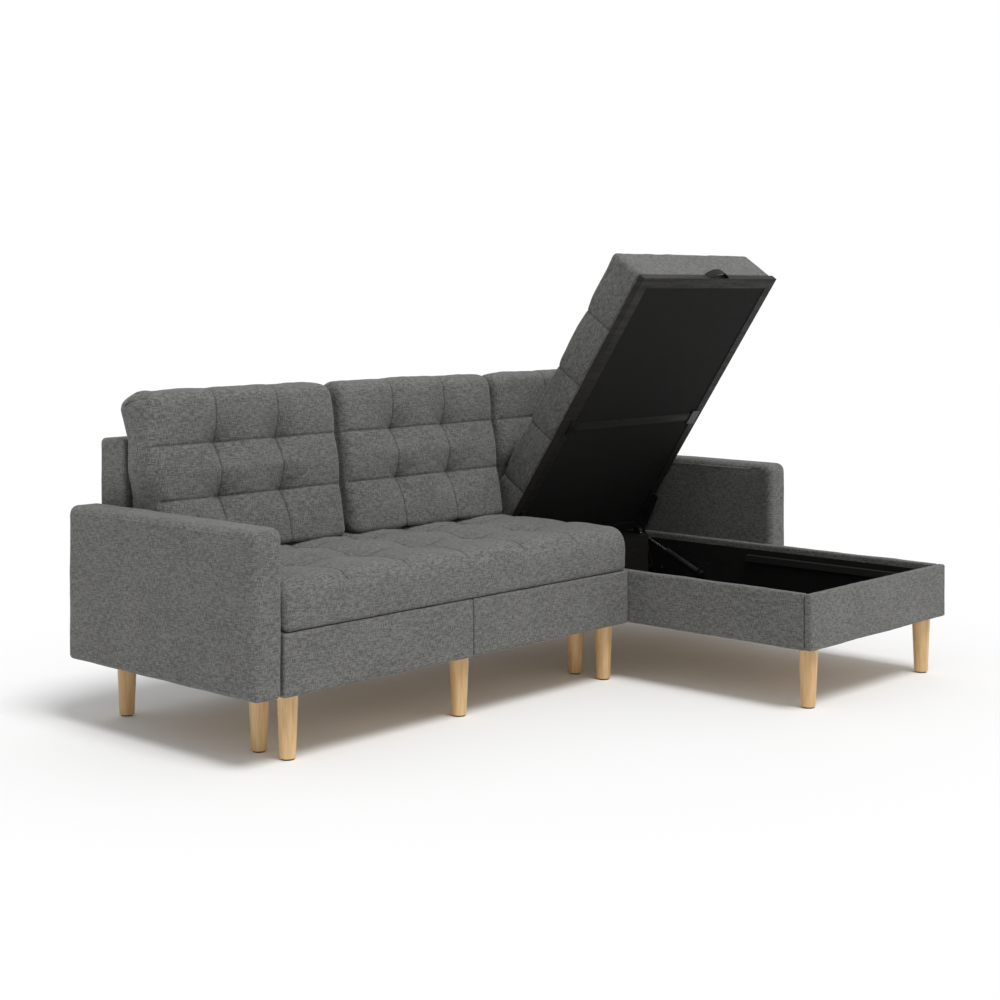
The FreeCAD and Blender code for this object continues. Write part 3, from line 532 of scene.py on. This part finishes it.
def back_field(low, high, foot, brow, rear_start, spill, seed):
    """The leaning front of a back cushion is tufted, and its upright seams go over its top.

    Spill is the side, -1 or 1, on which the cushion swells out above an arm, or 0."""
    along, reach = along_lean(foot, brow)
    arm_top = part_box("arm_left")[1].z

    def field(points, normals):
        x, y, _ = points.T
        up = along(points[:, 1:])
        forwards = eased(-normals[:, 1], 0.2, 0.8)
        upwards = eased(normals[:, 2], 0.2, 0.7) * eased(rear_start - y, 0, 40 * MM)
        share_x = (x - low.x) / (high.x - low.x) * 2 - 1
        share_up = np.clip(up / reach, 0, 1) * 2 - 1
        depth, crease_shade = tufted(x, up, thirds(low.x, high.x, 3), back_rows(reach),
                               np.maximum(forwards, upwards * 0.5), forwards, BACK_PULL,
                               BACK_VALLEY, seed)
        across = 1 - np.abs(share_x) ** 4
        swollen = 1 - np.clip(share_up, 0, 1) ** 4 - 0.4 * np.clip(-share_up, 0, 1) ** 4
        depth -= BACK_CROWN * across * swollen * forwards
        depth -= BACK_TOP_CROWN * across * upwards
        over_arm = eased(points[:, 2], arm_top + 6 * MM, arm_top + 90 * MM)
        depth -= ARM_SWELL * over_arm * np.clip(normals[:, 0] * spill, 0, 1)
        depth += lumps(points, 0.14, seed) * 1.6 * MM + lumps(points, 0.05, seed + 1) * 0.6 * MM
        return np.maximum(depth, -BACK_MOST_OUT), crease_shade
    return field


def along_lean(foot, brow):
    """A measure of outline points up the leaning front of a back cushion, and its length."""
    lean = np.array(brow) - np.array(foot)
    reach = np.linalg.norm(lean)
    lean = lean / reach
    return lambda points: (points - np.array(foot)) @ lean, reach


def back_rows(reach):
    return [reach * 0.35, reach * 0.69]


def panel_field(seed, lift=1.0):
    """Cloth stretched over a board swells slightly."""
    def field(points, normals):
        depth = lumps(points, 0.16, seed) * 0.8 * MM + lumps(points, 0.05, seed + 3) * 0.25 * MM
        return depth * lift + 0.4 * MM, np.zeros(len(points))
    return field


def panel(node, radii, end_radius, poles, spacing, seed, bulge=0.0, lift=1.0):
    """An upholstered board over its CAD node."""
    low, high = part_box(node)
    corners = [(low.y, low.z), (high.y, low.z), (high.y, high.z), (low.y, high.z)]
    piece = stuffed(node + "_cloth", (low.x, high.x), corners, [item * MM for item in radii],
                    end_radius * MM, poles, spacing * MM, panel_field(seed, lift),
                    "grey_fabric", end_steps=6, bulge=bulge * MM)
    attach(piece, "base")
    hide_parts(node)


ARM_RADII = [12, 12, 28, 28]
for seed, node in enumerate(("arm_left", "arm_right")):
    panel(node, ARM_RADII, end_radius=17, poles=(0, 2), spacing=7, seed=11 + seed, bulge=1.5)
for seed, node in enumerate(("back_frame_seat", "back_frame_chaise")):
    panel(node, [7, 7, 16, 16], end_radius=8, poles=(0, 2), spacing=9, seed=21 + seed,
          bulge=0.3)
for seed, node in enumerate(("front_panel_left", "front_panel_middle", "box_front_panel")):
    panel(node, [5, 5, 6, 6], end_radius=6, poles=(0, 2), spacing=5, seed=31 + seed)
for seed, node in enumerate(("box_left_panel", "box_right_panel")):
    panel(node, [5, 5, 6, 6], end_radius=6, poles=(3, 1), spacing=6, seed=41 + seed)
panel("back_ledge", [3, 3, 3, 3], end_radius=3, poles=(3, 1), spacing=8, seed=47, lift=0.3)


def cushion(nodes, corners, radii, end_radius, poles, spacing, field, span=None,
            body="base", turn=None, bulge=0.0, seams=(), seam_near=far_from_seams):
    low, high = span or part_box(nodes[0])
    piece = stuffed(nodes[0] + "_cover", (low.x, high.x), corners,
                    [item * MM for item in radii], end_radius * MM, poles, spacing * MM, field,
                    "grey_fabric", end_steps=8, bulge=bulge * MM, seams=seams,
                    seam_near=seam_near)
    if turn is not None:
        piece.data.transform(turn)
        piece.data.update()
    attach(piece, body)
    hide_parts(*nodes)


# The seat cushion lies over both seat modules.
low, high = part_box("seat_cushion")
SEAT_CROWN = 7 * MM
seat_rows = thirds(low.y, high.y, 3)
seat_top = high.z - SEAT_CROWN
cushion(["seat_cushion"],
        [(low.y, low.z), (high.y, low.z), (high.y, seat_top), (low.y, seat_top)],
        [14, 14, 14, 56], 18, (3, 1), 7,
        seat_field(low, high, 6, 3, 22 * MM, 8 * MM, 0.0, SEAT_CROWN, 51), bulge=3,
        seams=thirds(low.x, high.x, 6),
        seam_near=lambda points: (nearest(points[:, 0], seat_rows)[0]
                                  + (points[:, 1] < seat_top - 30 * MM)))

# The lid's cushion is shaped closed and turned open with the lid. Its cover wraps the board.
lid_low, lid_high = box_when_closed("lid_cushion")
lid_low.z = box_when_closed("lid_board")[0].z
LID_CROWN = 7 * MM
lid_rows = thirds(lid_low.y, lid_high.y, 5)
lid_top = lid_high.z - LID_CROWN + 10 * MM
cushion(["lid_cushion", "lid_board"],
        [(lid_low.y, lid_low.z), (lid_high.y, lid_low.z), (lid_high.y, lid_top),
         (lid_low.y, lid_top + 14 * MM)],
        [6, 6, 24, 17], 13, (3, 1), 7,
        seat_field(lid_low, lid_high, 3, 5, 20 * MM, 8 * MM, 0.8, LID_CROWN, 61),
        span=(lid_low, lid_high), body="lid", turn=LID_OPEN, bulge=4,
        seams=thirds(lid_low.x, lid_high.x, 3),
        seam_near=lambda points: nearest(points[:, 0], lid_rows)[0])

# Back cushions: the outline's places are shares of the CAD cushion's depth and height.
BACK_OUTLINE = [(-0.03, -0.03), (0.80, -0.03), (0.80, 0.68), (1.0, 0.90), (0.60, 0.985),
                (0.29, 0.96)]
BACK_RADII = [16, 12, 22, 28, 24, 33]
SLOPED_RADII = [8, 10, 22, 28, 24, 33, 40]
TOE_DEPTH = 34 * MM
SIDE_SWELL = Vector((4 * MM, 0, 0))


def lean_rows(foot, brow):
    """How far outline points are from the row seams on the leaning front of a cushion."""
    along, reach = along_lean(foot, brow)
    ahead = np.array([-(brow[1] - foot[1]), brow[0] - foot[0]]) / reach

    def seam_near(points):
        behind = np.abs((points - np.array(foot)) @ ahead) > 25 * MM
        return nearest(along(points), back_rows(reach))[0] + behind
    return seam_near


def outline_places(low, high, shift=0.0):
    """The places of BACK_OUTLINE in a box, moved back by a shift."""
    return [(low.y + (high.y - low.y) * y + shift, low.z + (high.z - low.z) * z)
            for y, z in BACK_OUTLINE]


def leaning_cushion(node, corners, radii, foot, brow, rear_start, spill, seed):
    """A back cushion over its CAD node, tufted from its foot up to its brow."""
    low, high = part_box(node)
    cushion([node], corners, radii, 26, (0, 3), 6,
            back_field(low, high, foot, brow, rear_start, spill, seed),
            span=(low - SIDE_SWELL, high + SIDE_SWELL), bulge=8,
            seams=thirds(low.x, high.x, 3), seam_near=lean_rows(foot, brow))


def rear_start_of(low, high):
    """Where the back of a cushion begins, behind which its top has no seams."""
    return low.y + (high.y - low.y) * 0.9


def back_cushion(node, spill, seed):
    low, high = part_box(node)
    corners = outline_places(low, high)
    leaning_cushion(node, corners, BACK_RADII, corners[0], corners[5], rear_start_of(low, high),
                    spill, seed)


def sloped_cushion(node, spill, seed):
    """The back cushion above the chaise: its foot slopes back, clear of the raised lid."""
    low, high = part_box(node)
    reference_low, reference_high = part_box("back_cushion_left")
    places = outline_places(reference_low, reference_high, high.y - reference_high.y)
    foot, brow = places[0], places[5]
    knee_share = (low.y - foot[0]) / (brow[0] - foot[0])
    knee = (low.y, foot[1] + (brow[1] - foot[1]) * knee_share)
    toe = (places[1][0] - TOE_DEPTH, low.z)
    heel = (places[1][0], low.z)
    leaning_cushion(node, [toe, heel, *places[2:5], brow, knee], SLOPED_RADII, foot, brow,
                    rear_start_of(reference_low, reference_high), spill, seed)


back_cushion("back_cushion_left", -1, 71)
back_cushion("back_cushion_middle", 0, 72)
sloped_cushion("back_cushion_right", 1, 75)

# Every CAD node that still shows gets the material of its slot.
slots = {part["node"]: part["material_slot"] for part in frame["record"]["subparts"]}
for name, node in frame["nodes"].items():
    node.data.materials.clear()
    node.data.materials.append(MATERIALS[slots[name]])

# Floor, light and camera

floor_mesh = bpy.data.meshes.new("floor")
floor_mesh.from_pydata([(-40, -40, 0), (40, -40, 0), (40, 40, 0), (-40, 40, 0)], [],
                       [(0, 1, 2, 3)])
floor = bpy.data.objects.new("floor", floor_mesh)
bpy.context.scene.collection.objects.link(floor)
floor_material, _, _ = new_material("floor", 0.9)
floor_material.node_tree.nodes["Principled BSDF"].inputs["Base Color"].default_value = \
    colour(0.90, 0.90, 0.90)
floor_mesh.materials.append(floor_material)

# The backdrop is white to the eye and in metal, and lights the sofa less than it shows.
SKY_LIGHT = 0.55
world = bpy.data.worlds.new("studio")
bpy.context.scene.world = world
world.use_nodes = True
backdrop = world.node_tree.nodes["Background"]
backdrop.inputs["Color"].default_value = colour(1.0, 1.0, 1.0)
start = Wire(world.node_tree, None)
seen, mirrored = (start.node("ShaderNodeLightPath", output=kind)
                  for kind in ("Is Camera Ray", "Is Glossy Ray"))
shown = start.node("ShaderNodeMath", {0: seen, 1: mirrored}, operation="MAXIMUM")
feed(backdrop, "Strength", shown * (1.0 - SKY_LIGHT) + SKY_LIGHT)

key_data = bpy.data.lights.new("key", "SUN")
key_data.energy = 2.0
key_data.angle = math.radians(24)
key = bpy.data.objects.new("key", key_data)
key.rotation_euler = Vector((0.05, 0.42, -0.90)).to_track_quat("-Z", "Y").to_euler()
bpy.context.scene.collection.objects.link(key)

camera_data = bpy.data.cameras.new("camera")
camera_data.sensor_width = 36.0
camera_data.lens = 64.06
camera_data.shift_y = -0.2118
camera = bpy.data.objects.new("camera", camera_data)
camera.location = (-3.3968, -2.9773, 1.0268)
camera.rotation_euler = Vector((0.7353, 0.6778, 0.0)).to_track_quat("-Z", "Y").to_euler()
bpy.context.scene.collection.objects.link(camera)
bpy.context.scene.camera = camera
bpy.context.scene.view_settings.view_transform = "Standard"
